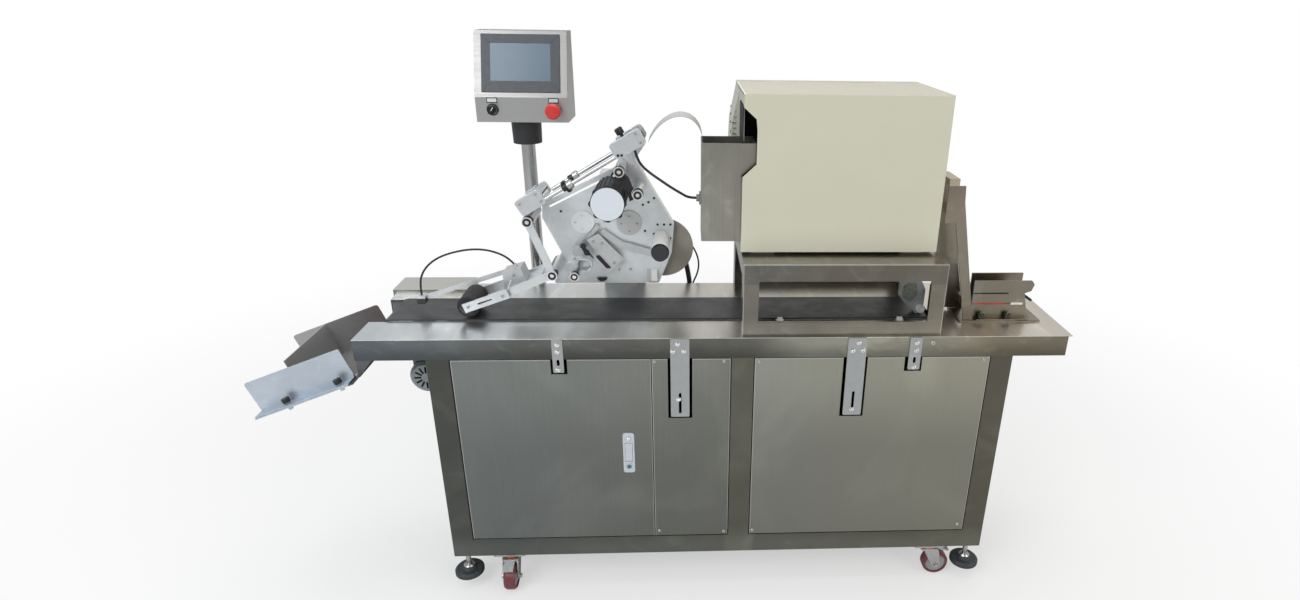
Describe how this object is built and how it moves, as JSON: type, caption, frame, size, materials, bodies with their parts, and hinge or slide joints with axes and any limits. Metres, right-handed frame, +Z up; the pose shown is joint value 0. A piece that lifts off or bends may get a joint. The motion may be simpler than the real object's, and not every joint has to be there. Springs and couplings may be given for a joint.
{
  "type": "labelling machine",
  "caption": "Print-and-apply labelling machine for flat cards: belt table on a cabinet, labelling head, screen box, printer on a stand and output tray.",
  "frame": {"origin": "middle of the machine's overall box at floor level", "axes": "+X along the belt towards the feeder, -Y towards the operator, +Z up"},
  "size_m": [2.092, 0.523, 1.48],
  "materials": {
    "steel": "brushed stainless sheet",
    "aluminium": "machined and clear anodised",
    "shaft_steel": "ground and polished",
    "beige_paint": "fine textured powder coat",
    "black_rubber": "matt",
    "belt": "matt green-black belt with fine weave",
    "black_plastic": "moulded",
    "zinc": "zinc plated",
    "red_wheel": "cast polyurethane",
    "red_plastic": "moulded",
    "motor_paint": "cast and painted",
    "white_plastic": "moulded",
    "label_paper": "clear glossy liner"
  },
  "bodies": {
    "machine": {"cabinet_frame": "steel", "long_rails": "steel", "cross_rails": "steel", "caster_plates": "zinc", "front_panels": "steel", "skin_panels": "steel", "levelling_feet": "black_rubber", "table_top": "steel", "conveyor_belt": "belt", "belt_bed": "aluminium", "hanging_brackets": "zinc", "gear_motor": "motor_paint", "rear_cover": "steel", "tray_floor": "steel", "tray_walls": "steel", "head_plate": "aluminium", "head_column": "aluminium", "rod_blocks": "aluminium", "guide_rods": "shaft_steel", "roller_shafts": "shaft_steel", "link_bar": "aluminium", "head_arms": "aluminium", "peel_unit": "aluminium", "label_web": "label_paper", "sensor_arm": "aluminium", "sensor_cable": "black_plastic", "bin_cable": "black_plastic", "head_conduit": "black_plastic", "loop_cable": "black_plastic", "rear_elbow": "black_plastic", "screen_post": "shaft_steel", "printer_stand": "steel", "printer_body": "beige_paint", "label_bin": "steel", "feeder_frame": "steel"},
    "cabinet_door": {"cabinet_door": "steel", "lock_housing": "white_plastic"},
    "lock_lever": {"lock_lever": "white_plastic"},
    "screen": {"screen_box": "steel"},
    "selector_knob": {"selector_knob": "black_plastic"},
    "stop_button": {"stop_button": "red_plastic"},
    "printer_cover": {"printer_cover": "beige_paint"},
    "press_roller": {"press_roller": "black_rubber"},
    "drive_roller": {"drive_roller": "black_rubber"},
    "label_reel": {"label_reel": "aluminium"},
    "tray_slide": {"tray_slide": "steel"},
    "feeder_guide": {"feeder_guide": "steel"},
    "upper_roller": {"upper_roller": "aluminium"},
    "lower_roller": {"lower_roller": "aluminium"},
    "top_roller": {"top_roller": "aluminium"},
    "right_roller": {"right_roller": "aluminium"},
    "small_roller": {"small_roller": "aluminium"},
    "fork_front_left": {"caster_fork_front_left": "zinc"},
    "wheel_front_left": {"caster_wheel_front_left": "red_wheel"},
    "fork_front_right": {"caster_fork_front_right": "zinc"},
    "wheel_front_right": {"caster_wheel_front_right": "red_wheel"},
    "fork_rear_left": {"caster_fork_rear_left": "zinc"},
    "wheel_rear_left": {"caster_wheel_rear_left": "red_wheel"},
    "fork_rear_right": {"caster_fork_rear_right": "zinc"},
    "wheel_rear_right": {"caster_wheel_rear_right": "red_wheel"}
  },
  "joints": [
    {"name": "swivel_front_left", "type": "hinge", "parent": "machine", "child": "fork_front_left", "pos_m": [-0.44197, -0.195, 0.1], "axis": [0, 0, 1], "continuous": true},
    {"name": "spin_front_left", "type": "hinge", "parent": "fork_front_left", "child": "wheel_front_left", "pos_m": [-0.44197, -0.222, 0.0375], "axis": [1, 0, 0], "continuous": true},
    {"name": "swivel_front_right", "type": "hinge", "parent": "machine", "child": "fork_front_right", "pos_m": [0.75603, -0.195, 0.1], "axis": [0, 0, 1], "continuous": true},
    {"name": "spin_front_right", "type": "hinge", "parent": "fork_front_right", "child": "wheel_front_right", "pos_m": [0.78303, -0.195, 0.0375], "axis": [0, 1, 0], "continuous": true},
    {"name": "swivel_rear_left", "type": "hinge", "parent": "machine", "child": "fork_rear_left", "pos_m": [-0.44197, 0.136, 0.1], "axis": [0, 0, 1], "continuous": true},
    {"name": "spin_rear_left", "type": "hinge", "parent": "fork_rear_left", "child": "wheel_rear_left", "pos_m": [-0.41497, 0.136, 0.0375], "axis": [0, 1, 0], "continuous": true},
    {"name": "swivel_rear_right", "type": "hinge", "parent": "machine", "child": "fork_rear_right", "pos_m": [0.75603, 0.136, 0.1], "axis": [0, 0, 1], "continuous": true},
    {"name": "spin_rear_right", "type": "hinge", "parent": "fork_rear_right", "child": "wheel_rear_right", "pos_m": [0.75603, 0.163, 0.0375], "axis": [-1, 0, 0], "continuous": true},
    {"name": "door_hinge", "type": "hinge", "parent": "machine", "child": "cabinet_door", "pos_m": [-0.53347, -0.2235, 0.44], "axis": [0, 0, -1], "range_deg": [0, 110]},
    {"name": "lever_lift", "type": "hinge", "parent": "cabinet_door", "child": "lock_lever", "pos_m": [-0.09797, -0.2245, 0.4197], "axis": [1, 0, 0], "range_deg": [0, 35]},
    {"name": "screen_swivel", "type": "hinge", "parent": "machine", "child": "screen", "pos_m": [-0.38397, 0.1995, 1.251], "axis": [0, 0, 1], "range_deg": [-60, 60]},
    {"name": "selector_turn", "type": "hinge", "parent": "screen", "child": "selector_knob", "pos_m": [-0.45497, 0.1245, 1.284], "axis": [0, 1, 0], "range_deg": [0, 90]},
    {"name": "stop_press", "type": "slide", "parent": "screen", "child": "stop_button", "axis": [0, 1, 0], "range_m": [0, 0.004], "stiffness_N_per_m": 1500},
    {"name": "cover_lift", "type": "hinge", "parent": "machine", "child": "printer_cover", "pos_m": [0.44253, 0.1465, 1.359], "axis": [-1, 0, 0], "range_deg": [0, 90]},
    {"name": "upper_roller_spin", "type": "hinge", "parent": "machine", "child": "upper_roller", "pos_m": [-0.33797, -0.0455, 1.044], "axis": [0, 1, 0], "continuous": true},
    {"name": "lower_roller_spin", "type": "hinge", "parent": "machine", "child": "lower_roller", "pos_m": [-0.28597, -0.0455, 0.903], "axis": [0, 1, 0], "continuous": true},
    {"name": "top_roller_spin", "type": "hinge", "parent": "machine", "child": "top_roller", "pos_m": [-0.10897, -0.0455, 1.165], "axis": [0, 1, 0], "continuous": true},
    {"name": "right_roller_spin", "type": "hinge", "parent": "machine", "child": "right_roller", "pos_m": [-0.06397, -0.0455, 1.11], "axis": [0, 1, 0], "continuous": true},
    {"name": "small_roller_spin", "type": "hinge", "parent": "machine", "child": "small_roller", "pos_m": [-0.22997, -0.0455, 0.9], "axis": [0, 1, 0], "continuous": true},
    {"name": "press_roller_spin", "type": "hinge", "parent": "machine", "child": "press_roller", "pos_m": [-0.50797, -0.0655, 0.816], "axis": [0, 1, 0], "continuous": true},
    {"name": "drive_roller_spin", "type": "hinge", "parent": "machine", "child": "drive_roller", "pos_m": [-0.13697, -0.0655, 1.093], "axis": [0, 1, 0], "continuous": true},
    {"name": "label_reel_spin", "type": "hinge", "parent": "machine", "child": "label_reel", "pos_m": [-0.00697, 0.0305, 0.933], "axis": [0, 1, 0], "continuous": true},
    {"name": "tray_wall_slide", "type": "slide", "parent": "machine", "child": "tray_slide", "axis": [0, 1, 0], "range_m": [0, 0.025]},
    {"name": "feeder_guide_slide", "type": "slide", "parent": "machine", "child": "feeder_guide", "axis": [0, 1, 0], "range_m": [0, 0.03]}
  ]
}
